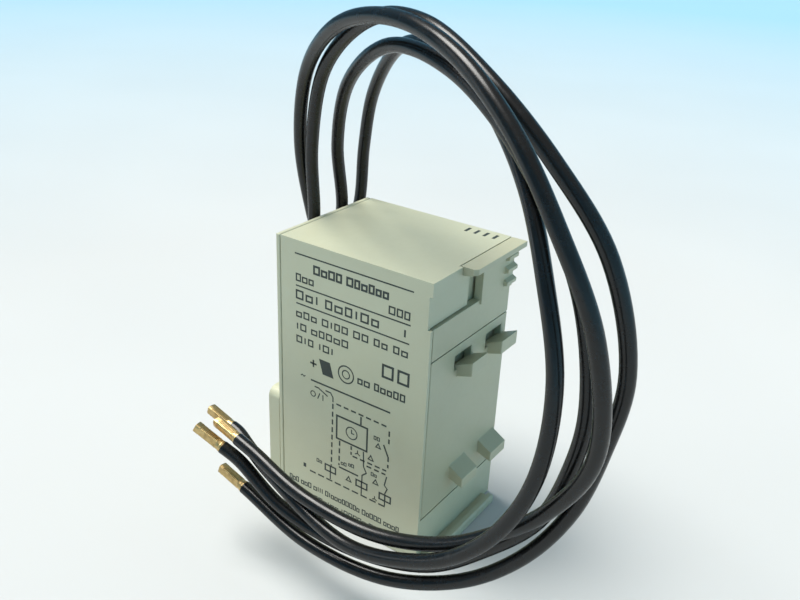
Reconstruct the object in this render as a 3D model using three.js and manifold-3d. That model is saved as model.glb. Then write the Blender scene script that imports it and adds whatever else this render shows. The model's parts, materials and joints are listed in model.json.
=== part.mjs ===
// Star-delta timer module that snaps onto the front of a rail-mounted contactor.
// Millimetres, +Z up. X is across the module, +Y is towards the contactor, -Y is the operator's side.
// The origin is the middle of the base. Pieces that touch on the real module keep FIT between them.
import * as THREE from 'three';
import * as BufferGeometryUtils from 'three/addons/utils/BufferGeometryUtils.js';
import Module from 'manifold-3d';

const wasm = await Module();
wasm.setup();

// ---------------------------------------------------------------- driving dimensions
const HALF_WIDTH = 18;          // half of the 36 mm module width
const HEIGHT = 76;
const WALL = 1.6;
const FIT = 0.3;                // clearance between separate pieces
const LAP = 0.2;                // how far bodies that are joined run into each other
const OVERRUN = 1;              // how far a cutter runs past the surface it opens
const COVER_FACE = -21.5;       // outer face of the front cover
const COVER_BACK = -20.3;
const CASE_FRONT = -20;         // open end of the housing shell
const CASE_REAR = 21.2;         // outer face of the shell's rear wall
const MOUNT_FACE = 23.5;        // plane that lies against the contactor
const HOOK_TIP = 27.6;
const PLATE_LOW = 12.3;         // seam between the shell's foot and the mounting plate
const PLATE_HIGH = 56;          // seam between the mounting plate and the latch
const LATCH_SHOULDER = 64.5;    // top of the latch's full-width band
const FLAG_EDGE = -3;           // side of the latch's tall flag, next to the relief slot
const RELIEF_EDGE = 1.5;        // other side of the relief slot
const LIP_END = 5.8;            // end of the latch's finger lip
const LIP_ROOT = 22.8;          // inner side of the lip, at the top
const SIDE_STRIP = 0.9;         // edge of the printed side wall, flush with the mounting face
const BEZEL_FACE = -25.4;
const BEZEL_TOP = 31.5;
const DIAL_HEIGHT = 16;         // height of the time knob's axis
const KNOB_RADIUS = 7;
const SHAFT_RADIUS = 2;
const LAMP = { x: 10, z: 37, radius: 1.5 };
const LEAD_RADIUS = 1.6;        // 1.5 mm2 single-core lead, 3.2 mm over the insulation
const LEAD_HOLE_RADIUS = 1.9;
const LEAD_ROW_Y = -24.8;       // the four leads leave the hood side by side in this plane
const LEAD_HOLES = { supply: 1.5, common: -3.9, star: -9.3, delta: -14.7 };
const LEAD_START = 47;          // height of the lead's soldered end inside the hood
const LEAD_RISE = [54, 62];     // heights where the lead still runs straight up
const LEAD_STEPS = 22;
const LEAD_FACETS = 8;
const HOOD = { left: -17.6, right: 4.6, low: 38, high: 58, face: -27.6 };
const BOARD = 1.6;              // circuit board thickness
const MAIN_BOARD_FACE = -12;    // component side of the main board
const CONTROL_BOARD_BACK = -15.6;
const ON_BOARD = MAIN_BOARD_FACE + FIT;
const RELAY = { base: -10.4, top: 5, y0: -6, y1: 14, z0: 44, z1: 60, middle: 52 };
const COIL = { y: 1.8, back: -8.6, front: -0.8, cheek: 0.8, wire: 4.8, tube: 2.7, bore: 2.1 };
const YOKE = { back: -9.8, front: 0.4, edge: -4.9, thick: 0.8 };
const ROUND = 24;               // facets of a round piece
const SMALL_ROUND = 12;

// ---------------------------------------------------------------- colours
const COLOUR = {
  housing: 0xb9c3b0, mechanism: 0xa9b09d, dial: 0x4d5654, insulation: 0x1c1e1d, brass: 0xb59a62,
  steel: 0x9a9c9e, copper: 0xa8643a, board: 0x2f6b45, relay: 0xd8d4c4, capacitor: 0x26324a,
  film: 0xc9a53a, ceramic: 0x2c5f8f, resistor: 0xb9a488, chip: 0x202124, lens: 0x8fd0a2, silver: 0xc8c8c4,
};

const group = new THREE.Group();

function plastic(color, roughness = 0.5) {
  return new THREE.MeshStandardMaterial({ color, roughness, metalness: 0 });
}

function metal(color, roughness = 0.35) {
  return new THREE.MeshStandardMaterial({ color, roughness, metalness: 1 });
}

function addPart(name, geometry, material) {
  const mesh = new THREE.Mesh(geometry, material);
  mesh.name = name;
  group.add(mesh);
  return mesh;
}

// ---------------------------------------------------------------- solid helpers
function box(low, high) {
  const size = high.map((value, axis) => value - low[axis]);
  const middle = high.map((value, axis) => (value + low[axis]) / 2);
  return new THREE.BoxGeometry(...size).translate(...middle);
}

function rodX(x0, x1, y, z, radius, facets = ROUND) {
  const rod = new THREE.CylinderGeometry(radius, radius, x1 - x0, facets).rotateZ(Math.PI / 2);
  return rod.translate((x0 + x1) / 2, y, z);
}

function rodY(y0, y1, x, z, radius, facets = ROUND) {
  const rod = new THREE.CylinderGeometry(radius, radius, y1 - y0, facets);
  return rod.translate(x, (y0 + y1) / 2, z);
}

function rodZ(z0, z1, x, y, radius, facets = ROUND) {
  const rod = new THREE.CylinderGeometry(radius, radius, z1 - z0, facets).rotateX(Math.PI / 2);
  return rod.translate(x, y, (z0 + z1) / 2);
}

// Extrudes an outline given as [y, z] corners along X.
function barX(outline, x0, x1) {
  const shape = new THREE.Shape(outline.map(([y, z]) => new THREE.Vector2(y, z)));
  const bar = new THREE.ExtrudeGeometry(shape, { depth: x1 - x0, bevelEnabled: false });
  const axes = new THREE.Matrix4().makeBasis(
    new THREE.Vector3(0, 1, 0), new THREE.Vector3(0, 0, 1), new THREE.Vector3(1, 0, 0));
  return bar.applyMatrix4(axes).translate(x0, 0, 0);
}

// Extrudes a shape drawn in X and Z from y1 towards the operator's side, ending at y0.
function plateY(shape, y0, y1) {
  const plate = new THREE.ExtrudeGeometry(shape, { depth: y1 - y0, bevelEnabled: false, curveSegments: 4 });
  const axes = new THREE.Matrix4().makeBasis(
    new THREE.Vector3(1, 0, 0), new THREE.Vector3(0, 0, 1), new THREE.Vector3(0, -1, 0));
  return plate.applyMatrix4(axes).translate(0, y1, 0);
}

function toSolid(geometry) {
  const bare = geometry.clone();
  bare.deleteAttribute('normal');
  bare.deleteAttribute('uv');
  const merged = BufferGeometryUtils.mergeVertices(bare, 1e-4);
  const vertProperties = new Float32Array(merged.attributes.position.array);
  const triVerts = new Uint32Array(merged.index.array);
  return new wasm.Manifold(new wasm.Mesh({ numProp: 3, vertProperties, triVerts }));
}

function toGeometry(solid) {
  const mesh = solid.getMesh();
  const geometry = new THREE.BufferGeometry();
  geometry.setAttribute('position', new THREE.BufferAttribute(mesh.vertProperties, 3));
  geometry.setIndex(new THREE.BufferAttribute(mesh.triVerts, 1));
  return geometry;
}

function carve(bodies, cuts = []) {
  let solid = toSolid(bodies[0]);
  for (const body of bodies.slice(1)) {
    solid = solid.add(toSolid(body));
  }
  for (const cut of cuts) {
    solid = solid.subtract(toSolid(cut));
  }
  return toGeometry(solid);
}

// ---------------------------------------------------------------- casing
function housingShell() {
  const innerHalf = HALF_WIDTH - WALL;
  const rearInside = CASE_REAR - WALL;
  const root = CASE_REAR - 1;
  const panel = { face: MOUNT_FACE - 0.8, low: LATCH_SHOULDER + FIT, top: 72.7, lap: 0.8 };
  const roof = HEIGHT - WALL;
  const roofEdge = LIP_ROOT - FIT;
  const bandSide = LIP_END + FIT;
  const stripSide = HALF_WIDTH - SIDE_STRIP;
  const channel = { root: MOUNT_FACE - 1, back: 25.4, front: 27, floor: 1.2, rim: 2.2, bevel: 0.4, end: -14.5 };
  const gate = { z: HEIGHT / 2, recess: 3, depth: 0.3, radius: 0.8, top: -HALF_WIDTH + 0.05, height: 0.4 };
  const channelSection = [
    [channel.root, 0], [channel.front, 0], [channel.front, channel.rim - channel.bevel],
    [channel.front - channel.bevel, channel.rim], [channel.back, channel.rim],
    [channel.back, channel.floor], [channel.root, channel.floor]];
  const bodies = [
    box([-HALF_WIDTH, CASE_FRONT, 0], [HALF_WIDTH, CASE_REAR, HEIGHT]),
    box([-HALF_WIDTH, root, 0], [HALF_WIDTH, MOUNT_FACE, PLATE_LOW - FIT]),
    barX(channelSection, channel.end, HALF_WIDTH),
    box([stripSide, root, 0], [HALF_WIDTH, MOUNT_FACE, LATCH_SHOULDER]),
    box([stripSide, root, LATCH_SHOULDER - LAP], [HALF_WIDTH, panel.face, HEIGHT]),
    box([RELIEF_EDGE, root, panel.low], [HALF_WIDTH, panel.face, panel.top + panel.lap]),
    box([-HALF_WIDTH, root, roof], [bandSide, roofEdge, HEIGHT]),
    box([RELIEF_EDGE, root, panel.top], [bandSide, roofEdge, HEIGHT]),
    box([bandSide, root, panel.top], [HALF_WIDTH, MOUNT_FACE, HEIGHT])];
  const inside = box([-innerHalf, CASE_FRONT - OVERRUN, WALL], [innerHalf, rearInside, roof]);
  const gateRecess = rodX(-HALF_WIDTH - OVERRUN, -HALF_WIDTH + gate.depth, 0, gate.z, gate.recess);
  const gateStub = rodX(gate.top, gate.top + gate.height, 0, gate.z, gate.radius, SMALL_ROUND);
  return carve([carve(bodies, [inside, gateRecess]), gateStub]);
}

function frontCover() {
  const inset = WALL + FIT;
  const rim = { half: HALF_WIDTH - inset, low: inset, high: HEIGHT - inset, wall: 1.2, depth: -17.9 };
  const bossGap = 0.5;
  const slot = { low: 43.9, high: 46.1, end: 1.4 };
  const notch = { low: 43, high: 47.4, end: LEAD_HOLES.delta + 1 };
  const front = COVER_FACE - OVERRUN;
  const back = COVER_BACK + OVERRUN;
  const rimEnd = rim.depth + OVERRUN;
  const bodies = [
    box([-HALF_WIDTH, COVER_FACE, 0], [HALF_WIDTH, COVER_BACK, HEIGHT]),
    box([-rim.half, COVER_BACK - LAP, rim.low], [rim.half, rim.depth, rim.high])];
  const insideRim = box(
    [-rim.half + rim.wall, COVER_BACK, rim.low + rim.wall], [rim.half - rim.wall, rimEnd, rim.high - rim.wall]);
  const cuts = [
    rodY(front, back, 0, DIAL_HEIGHT, SHAFT_RADIUS + bossGap),
    rodY(front, back, LAMP.x, LAMP.z, LAMP.radius + FIT),
    box([LEAD_HOLES.delta - slot.end, front, slot.low], [LEAD_HOLES.supply + slot.end, back, slot.high]),
    box([-rim.half - OVERRUN, COVER_BACK, notch.low], [notch.end, rimEnd, notch.high])];
  return carve([carve(bodies, [insideRim])], cuts);
}

function roundedPanel(halfWidth, z0, z1, radius) {
  const shape = new THREE.Shape();
  shape.moveTo(-halfWidth, z0);
  shape.lineTo(halfWidth, z0);
  shape.lineTo(halfWidth, z1 - radius);
  shape.absarc(halfWidth - radius, z1 - radius, radius, 0, Math.PI / 2, false);
  shape.lineTo(-halfWidth + radius, z1);
  shape.absarc(-halfWidth + radius, z1 - radius, radius, Math.PI / 2, Math.PI, false);
  shape.lineTo(-halfWidth, z0);
  return shape;
}

function dialBezel() {
  const low = 0.4;
  const rim = 1.5;
  const corner = 2.4;
  const half = HALF_WIDTH - FIT;
  const front = BEZEL_FACE - OVERRUN;
  const scaleFace = BEZEL_FACE + 0.7;
  const knobGap = 0.5;
  const wellFacets = 36;
  const body = plateY(roundedPanel(half, low, BEZEL_TOP, corner), BEZEL_FACE, COVER_FACE - FIT);
  const recess = plateY(roundedPanel(half - rim, low + rim, BEZEL_TOP - rim, corner - 1), front, scaleFace);
  const well = rodY(front, COVER_FACE, 0, DIAL_HEIGHT, KNOB_RADIUS + knobGap, wellFacets);
  return carve([body], [recess, well]);
}

function leadOutletHood() {
  const skin = 0.9;
  const chamferEnd = HOOD.low + 5;
  const back = COVER_FACE - FIT;
  const ceiling = HOOD.high - 1.4;
  const innerFace = HOOD.face + skin;
  const outer = barX([[back, HOOD.low], [back, HOOD.high], [HOOD.face, HOOD.high], [HOOD.face, chamferEnd]],
    HOOD.left, HOOD.right);
  const inner = barX(
    [[back + OVERRUN, HOOD.low + skin], [back + OVERRUN, ceiling], [innerFace, ceiling],
      [innerFace, chamferEnd + skin / 2], [back, HOOD.low + skin + LAP]],
    HOOD.left + skin, HOOD.right - skin);
  const holes = Object.values(LEAD_HOLES).map(
    (x) => rodZ(ceiling - OVERRUN, HOOD.high + OVERRUN, x, LEAD_ROW_Y, LEAD_HOLE_RADIUS));
  return carve([outer], [inner, ...holes]);
}

// A comb behind the leads, with a tooth between each two of them, that takes the pull off the joints.
function leadClampComb() {
  const low = 50;
  const high = 53;
  const spineFront = -22.9;
  const spineInset = 1.4;
  const toothHalf = 0.75;
  const toothTip = LEAD_ROW_Y - 1;
  const places = Object.values(LEAD_HOLES);
  const spine = box(
    [HOOD.left + spineInset, spineFront, low], [HOOD.right - spineInset, COVER_FACE - FIT, high]);
  const teeth = places.slice(1).map((x, index) => {
    const middle = (x + places[index]) / 2;
    return box([middle - toothHalf, toothTip, low], [middle + toothHalf, spineFront + LAP, high]);
  });
  return carve([spine, ...teeth]);
}

function mountingPlate() {
  const root = MOUNT_FACE - 1;
  const side = HALF_WIDTH - SIDE_STRIP - FIT;
  const upperHook = [[root, 47.2], [HOOK_TIP, 48.9], [HOOK_TIP, 52.5], [root, 50.3]];
  const lowerHook = [[root, 18.4], [HOOK_TIP, 16.6], [HOOK_TIP, 19.4], [root, 22.4]];
  const hookSides = [[-2.1, 5.2], [-16.8, -9]];
  const windowSides = [[-1, 6.5], [-15.5, -8]];
  const windowLow = 49.5;
  const windowHigh = 53.5;
  const plate = box([-HALF_WIDTH, CASE_REAR + FIT, PLATE_LOW], [side, MOUNT_FACE, PLATE_HIGH]);
  const hooks = hookSides.flatMap(([x0, x1]) => [barX(upperHook, x0, x1), barX(lowerHook, x0, x1)]);
  const windows = windowSides.map(
    ([x0, x1]) => box([x0, CASE_REAR, windowLow], [x1, MOUNT_FACE + OVERRUN, windowHigh]));
  return carve([carve([plate], windows), ...hooks]);
}

function releaseLatch() {
  const side = HALF_WIDTH - SIDE_STRIP - FIT;
  const flag = { back: CASE_REAR + 0.6, face: MOUNT_FACE + 0.5, top: HEIGHT - WALL - FIT };
  const lip = { tip: 27, under: HEIGHT - 2.2, edge: HEIGHT - 1.4 };
  const ribEnd = -13.4;
  const ribHeights = [65.6, 69, 72.3];
  const ribSection = [[-0.5, -1.2], [1.1, -0.6], [1.1, 0.3], [-0.5, 1.2]];
  const corner = 0.9;
  const band = box([-HALF_WIDTH, CASE_REAR + FIT, PLATE_HIGH + FIT], [side, MOUNT_FACE, LATCH_SHOULDER]);
  const tongue = box([-HALF_WIDTH, flag.back, LATCH_SHOULDER - OVERRUN], [FLAG_EDGE, flag.face, flag.top]);
  const lipSection = [
    [LIP_ROOT, HEIGHT], [LIP_ROOT, lip.under], [flag.face, lip.under], [lip.tip, lip.edge], [lip.tip, HEIGHT]];
  const ribs = ribHeights.map((middle) => barX(
    ribSection.map(([y, z]) => [flag.face + y, middle + z]), -HALF_WIDTH, ribEnd));
  const cornerCut = box([-corner, -corner, lip.under - OVERRUN], [corner, corner, HEIGHT + OVERRUN])
    .rotateZ(Math.PI / 4).translate(LIP_END + LAP, lip.tip + LAP, 0);
  return carve([band, tongue, barX(lipSection, -HALF_WIDTH, LIP_END), ...ribs], [cornerCut]);
}

// ---------------------------------------------------------------- time setting
function timeKnob() {
  const face = -26.4;
  const back = -22;
  const boreEnd = -24.3;
  const facets = 28;
  const slot = { half: 5.2, side: 0.8, depth: 1.2 };
  const flute = { count: 14, radius: 0.8, reach: KNOB_RADIUS + 0.3, end: back - 1.2, facets: 8 };
  const body = rodY(face, back, 0, DIAL_HEIGHT, KNOB_RADIUS, facets);
  const bore = rodY(boreEnd, back + OVERRUN, 0, DIAL_HEIGHT, SHAFT_RADIUS + FIT);
  const groove = box([-slot.half, face - OVERRUN, -slot.side], [slot.half, face + slot.depth, slot.side])
    .rotateY(-Math.PI / 4).translate(0, 0, DIAL_HEIGHT);
  const flutes = Array.from({ length: flute.count }, (_, index) => {
    const angle = (index + 0.5) * 2 * Math.PI / flute.count;
    const x = Math.cos(angle) * flute.reach;
    const z = DIAL_HEIGHT + Math.sin(angle) * flute.reach;
    return rodY(face - OVERRUN, flute.end, x, z, flute.radius, flute.facets);
  });
  return carve([body], [bore, groove, ...flutes]);
}

function potShaft() {
  const front = -24;
  const back = -12.5;
  return rodY(front, back, 0, DIAL_HEIGHT, SHAFT_RADIUS);
}

function potentiometerBody() {
  const half = 7;
  const front = CONTROL_BOARD_BACK + FIT;
  const back = -10.3;
  const boreEnd = -12.1;
  const body = box([-half, front, DIAL_HEIGHT - half], [half, back, DIAL_HEIGHT + half]);
  return carve([body], [rodY(front - OVERRUN, boreEnd, 0, DIAL_HEIGHT, SHAFT_RADIUS + FIT)]);
}

function statusLamp() {
  const base = CONTROL_BOARD_BACK - BOARD - FIT;
  const flange = { thick: 0.7, radius: 1.9 };
  const height = 1.6;
  const foot = rodY(base - flange.thick, base, LAMP.x, LAMP.z, flange.radius);
  const dome = rodY(base - height, base - flange.thick + LAP, LAMP.x, LAMP.z, LAMP.radius);
  return carve([foot, dome]);
}

function lampLens() {
  const collar = { back: COVER_BACK + 0.9, radius: 2.3 };
  const proud = 0.7;
  const front = COVER_BACK + FIT;
  const flange = rodY(front, collar.back, LAMP.x, LAMP.z, collar.radius);
  const window = rodY(COVER_FACE - proud, front + LAP, LAMP.x, LAMP.z, LAMP.radius);
  return carve([flange, window]);
}

// ---------------------------------------------------------------- electronics
function controlBoard() {
  const half = 15.5;
  const low = 5;
  const high = 60;
  const shaftGap = 0.6;
  const front = CONTROL_BOARD_BACK - BOARD;
  const board = box([-half, front, low], [half, CONTROL_BOARD_BACK, high]);
  const hole = rodY(front - OVERRUN, CONTROL_BOARD_BACK + OVERRUN, 0, DIAL_HEIGHT, SHAFT_RADIUS + shaftGap);
  return carve([board], [hole]);
}

function mainBoard() {
  const low = 4;
  const high = 72;
  const front = CONTROL_BOARD_BACK + 0.6;
  const back = 18.5;
  return box([MAIN_BOARD_FACE - BOARD, front, low], [MAIN_BOARD_FACE, back, high]);
}

function boardConnector() {
  const low = 33;
  const high = 43;
  const side = -8;
  const back = -11;
  return box([ON_BOARD, CONTROL_BOARD_BACK + FIT, low], [side, back, high]);
}

function terminalHeader() {
  const low = 43.4;
  const high = 47;
  const depth = 1.6;
  const back = CONTROL_BOARD_BACK - BOARD - FIT;
  return box([LEAD_HOLES.delta - 1.2, back - depth, low], [LEAD_HOLES.supply + 1.6, back, high]);
}

function leadTab(x) {
  const half = 0.8;
  const foot = { front: -25.4, back: COVER_BACK + 0.9, low: 44.6, high: 45.3 };
  const blade = { front: -25.2, back: -24.4, high: 46.6 };
  const bar = box([x - half, foot.front, foot.low], [x + half, foot.back, foot.high]);
  const end = box([x - half, blade.front, foot.high - LAP], [x + half, blade.back, blade.high]);
  return carve([bar, end]);
}

function relayBase() {
  return box([ON_BOARD, RELAY.y0, RELAY.z0], [RELAY.base, RELAY.y1, RELAY.z1]);
}

function relayCover() {
  const skin = 0.8;
  const open = RELAY.base + FIT;
  const outer = box([open, RELAY.y0, RELAY.z0], [RELAY.top, RELAY.y1, RELAY.z1]);
  const inner = box(
    [open - OVERRUN, RELAY.y0 + skin, RELAY.z0 + skin], [RELAY.top - skin, RELAY.y1 - skin, RELAY.z1 - skin]);
  return carve([outer], [inner]);
}

// L-shaped: one leg behind the coil, the other beside it as far as the armature's pivot.
function relayYoke() {
  const half = 4.5;
  const backEnd = 7;
  const low = RELAY.middle - half;
  const high = RELAY.middle + half;
  const back = box([YOKE.back, YOKE.edge, low], [YOKE.back + YOKE.thick, backEnd, high]);
  const side = box([YOKE.back, YOKE.edge, low], [YOKE.front, YOKE.edge + YOKE.thick, high]);
  return carve([back, side]);
}

function relayCore() {
  return rodX(YOKE.back + YOKE.thick + FIT, 0, COIL.y, RELAY.middle, COIL.bore - FIT);
}

function relayBobbin() {
  const reachY = 5.4;
  const reachZ = 5.1;
  const cheeks = [COIL.back, COIL.front - COIL.cheek].map((x) => box(
    [x, COIL.y - reachY, RELAY.middle - reachZ], [x + COIL.cheek, COIL.y + reachY, RELAY.middle + reachZ]));
  const tube = rodX(COIL.back + LAP, COIL.front - LAP, COIL.y, RELAY.middle, COIL.tube);
  const bore = rodX(COIL.back - OVERRUN, COIL.front + OVERRUN, COIL.y, RELAY.middle, COIL.bore);
  return carve([...cheeks, tube], [bore]);
}

function relayWinding() {
  const gap = COIL.cheek + FIT;
  const wound = rodX(COIL.back + gap, COIL.front - gap, COIL.y, RELAY.middle, COIL.wire);
  return carve([wound], [rodX(COIL.back, COIL.front, COIL.y, RELAY.middle, COIL.tube + FIT)]);
}

function relayArmature() {
  const half = 3.8;
  const face = 0.9;
  const thick = 0.8;
  const pivotEnd = -4.7;
  const pullEnd = 7.2;
  return box([face, pivotEnd, RELAY.middle - half], [face + thick, pullEnd, RELAY.middle + half]);
}

function relayContactBlade() {
  const half = 1.6;
  const face = 2;
  const thick = 0.3;
  const root = 3.6;
  const tip = 11.8;
  return box([face, root, RELAY.middle - half], [face + thick, tip, RELAY.middle + half]);
}

// Fixed contact: a head in front of the blade and a leg back to the relay's base.
function relayContact(headX, headY, legY) {
  const half = 1.6;
  const thick = 0.5;
  const foot = RELAY.base + 0.4;
  const low = RELAY.middle - half;
  const high = RELAY.middle + half;
  const head = box([headX, headY, low], [headX + thick, legY + thick, high]);
  const leg = box([foot, legY, low], [headX + thick, legY + thick, high]);
  return carve([head, leg]);
}

function filterCapacitor() {
  const radius = 6;
  const end = 4.5;
  const y = 6.5;
  const z = 33;
  const crimp = { x: -9.6, radius: 0.5, sides: 6 };
  const can = rodX(ON_BOARD, end, y, z, radius);
  const ring = new THREE.TorusGeometry(radius, crimp.radius, crimp.sides, ROUND);
  return carve([can], [ring.rotateY(Math.PI / 2).translate(crimp.x, y, z)]);
}

function filmCapacitor() {
  const low = [ON_BOARD, -8, 5];
  const high = [0.5, 16.5, 12.5];
  return box(low, high);
}

function varistor() {
  const radius = 5;
  const front = -2.8;
  const back = 0.6;
  const x = -6;
  const z = 20;
  return rodY(front, back, x, z, radius);
}

function rectifier() {
  const radius = 4.4;
  const end = -6.6;
  const y = 8.6;
  const z = 20;
  return rodX(ON_BOARD, end, y, z, radius);
}

function dropperResistor() {
  const radius = 2.2;
  const low = 46;
  const high = 62;
  const x = -8.6;
  const y = -10.2;
  return rodZ(low, high, x, y, radius);
}

function timerChip() {
  const low = [ON_BOARD + 0.2, -8.5, 63.5];
  const high = [-8.6, 11, 70];
  return box(low, high);
}

// ---------------------------------------------------------------- leads
// Each lead rises out of its hole, arches over the module, comes down beside its rear corner,
// sweeps past the foot of the printed side wall and ends in its ferrule, held up by its own stiffness.
const LEAD_ROUTES = {
  supply: [
    [1, -24, 75], [3.5, -22.6, 94.1], [8.6, -14.5, 114.3], [15.6, 3.1, 127.4], [22.7, 21.1, 129.1],
    [28.6, 38.4, 122.3], [31.1, 53.4, 111.2], [30.8, 65.2, 97.2], [30.1, 71.2, 77.2], [30.5, 69.5, 60.7],
    [31.4, 65.5, 44.9], [33.2, 57.3, 30.6], [35.6, 45.2, 19.5], [38.6, 27.6, 12.6], [40.1, 6.9, 12.5],
    [39.2, -13.7, 17.9]],
  common: [
    [-1.5, -27, 75], [2.4, -27.2, 93.1], [9, -19.5, 112.9], [18.9, -2.6, 125.9], [27.5, 17, 130.1],
    [34.3, 34.1, 127.1], [39.6, 48.8, 118.1], [42.8, 60.4, 104.7], [42.6, 69.2, 87.9], [39.8, 71.2, 64.8],
    [38.4, 63.3, 48.6], [38.7, 54.2, 39.2], [40.2, 43.2, 31.6], [42, 26.5, 26.9], [42.1, 6.9, 27.5],
    [40, -9.2, 30.5], [39.3, -15, 31.4]],
  star: [
    [-10.3, -24, 75], [-6.6, -22.8, 92.4], [0.7, -14.1, 109.9], [11.9, 5.3, 122.1], [22, 26.6, 121.6],
    [28.1, 42.3, 114.1], [31.5, 54, 102.9], [33, 62.4, 88.7], [33.5, 66.3, 69.8], [33.6, 65.1, 56.9],
    [33.5, 60.4, 42.4], [34, 50.4, 30], [36, 37.2, 19.6], [38, 18.6, 15.4], [39.9, -0.8, 18.7],
    [40, -14.4, 26.1], [40.8, -18.9, 28.3]],
  delta: [
    [-17.8, -23.8, 75.1], [-17.6, -22.7, 89.7], [-13.3, -17, 105.4], [-2.5, -1.5, 119.8], [11.8, 20.4, 121.9],
    [21.8, 36.3, 115.1], [28.7, 47.6, 105], [34.2, 55.5, 92], [38.1, 61.5, 75.4], [40.8, 61.8, 58.5],
    [42.4, 57.5, 45.6], [43.6, 49.5, 34.9], [44.2, 39.1, 27.7], [43.9, 20.8, 22.3], [39, -5.4, 26],
    [36.9, -13.8, 28.4], [35.5, -18.6, 29.8], [35.3, -21, 30.3]],
};

function leadCurve(name) {
  const x = LEAD_HOLES[name];
  const rise = [LEAD_START, ...LEAD_RISE].map((z) => [x, LEAD_ROW_Y, z]);
  const points = [...rise, ...LEAD_ROUTES[name]].map((point) => new THREE.Vector3(...point));
  return new THREE.CatmullRomCurve3(points);
}

function lead(curve) {
  const section = new THREE.Shape();
  for (let facet = 0; facet < LEAD_FACETS; facet += 1) {
    const angle = (facet + 0.5) * 2 * Math.PI / LEAD_FACETS;
    const place = [Math.cos(angle) * LEAD_RADIUS, Math.sin(angle) * LEAD_RADIUS];
    if (facet === 0) {
      section.moveTo(...place);
    } else {
      section.lineTo(...place);
    }
  }
  return new THREE.ExtrudeGeometry(section, { steps: LEAD_STEPS, extrudePath: curve });
}

function ferrule() {
  const length = 8;
  const flare = 1.5;
  const flareEnd = 0.6;
  const barrel = 1.3;
  const barrelStart = 1;
  const tip = 1;
  const tipStart = length - 0.4;
  const profile = [
    [0, 0], [flare, 0], [flare, flareEnd], [barrel, barrelStart], [barrel, tipStart],
    [tip, length], [0, length]];
  const outline = profile.map(([radius, along]) => new THREE.Vector2(radius, along));
  return new THREE.LatheGeometry(outline, SMALL_ROUND);
}

function addLead(name) {
  const curve = leadCurve(name);
  addPart(`lead_${name}`, lead(curve), plastic(COLOUR.insulation, 0.35));
  const sleeve = addPart(`ferrule_${name}`, ferrule(), metal(COLOUR.brass));
  const direction = curve.getTangent(1);
  sleeve.position.copy(curve.getPoint(1).addScaledVector(direction, FIT));
  sleeve.quaternion.setFromUnitVectors(new THREE.Vector3(0, 1, 0), direction);
}

// ---------------------------------------------------------------- assembly
addPart('housing_shell', housingShell(), plastic(COLOUR.housing));
addPart('front_cover', frontCover(), plastic(COLOUR.housing));
addPart('dial_bezel', dialBezel(), plastic(COLOUR.housing));
addPart('lead_outlet_hood', leadOutletHood(), plastic(COLOUR.housing));
addPart('lead_clamp_comb', leadClampComb(), plastic(COLOUR.mechanism));
addPart('mounting_plate', mountingPlate(), plastic(COLOUR.mechanism));
addPart('release_latch', releaseLatch(), plastic(COLOUR.mechanism));
addPart('time_knob', timeKnob(), plastic(COLOUR.dial));
addPart('pot_shaft', potShaft(), plastic(COLOUR.relay));
addPart('potentiometer_body', potentiometerBody(), plastic(COLOUR.ceramic));
addPart('status_lamp', statusLamp(), plastic(COLOUR.lens, 0.2));
addPart('lamp_lens', lampLens(), plastic(COLOUR.lens, 0.1));
addPart('control_board', controlBoard(), plastic(COLOUR.board));
addPart('main_board', mainBoard(), plastic(COLOUR.board));
addPart('board_connector', boardConnector(), plastic(COLOUR.chip));
addPart('terminal_header', terminalHeader(), plastic(COLOUR.chip));
addPart('relay_base', relayBase(), plastic(COLOUR.chip));
addPart('relay_cover', relayCover(), plastic(COLOUR.relay));
addPart('relay_yoke', relayYoke(), metal(COLOUR.steel));
addPart('relay_core', relayCore(), metal(COLOUR.steel));
addPart('relay_bobbin', relayBobbin(), plastic(COLOUR.relay));
addPart('relay_winding', relayWinding(), metal(COLOUR.copper));
addPart('relay_armature', relayArmature(), metal(COLOUR.steel));
addPart('relay_contact_blade', relayContactBlade(), metal(COLOUR.brass));
addPart('relay_star_contact', relayContact(2.7, 10, 12.3), metal(COLOUR.silver));
addPart('relay_delta_contact', relayContact(0.1, 9.4, 11.2), metal(COLOUR.silver));
addPart('filter_capacitor', filterCapacitor(), plastic(COLOUR.capacitor));
addPart('film_capacitor', filmCapacitor(), plastic(COLOUR.film));
addPart('varistor', varistor(), plastic(COLOUR.ceramic));
addPart('rectifier', rectifier(), plastic(COLOUR.chip));
addPart('dropper_resistor', dropperResistor(), plastic(COLOUR.resistor));
addPart('timer_chip', timerChip(), plastic(COLOUR.chip));

for (const name of Object.keys(LEAD_HOLES)) {
  addPart(`lead_tab_${name}`, leadTab(LEAD_HOLES[name]), metal(COLOUR.brass));
  addLead(name);
}

export default group;
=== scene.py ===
# Looks of the star-delta timer module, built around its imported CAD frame.
# Metres, +Z up. +X is the printed side, +Y faces the contactor, -Y is the operator's side with the dial.
import json
import math
import random

import bmesh
import bpy
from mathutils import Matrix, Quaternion, Vector


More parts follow.
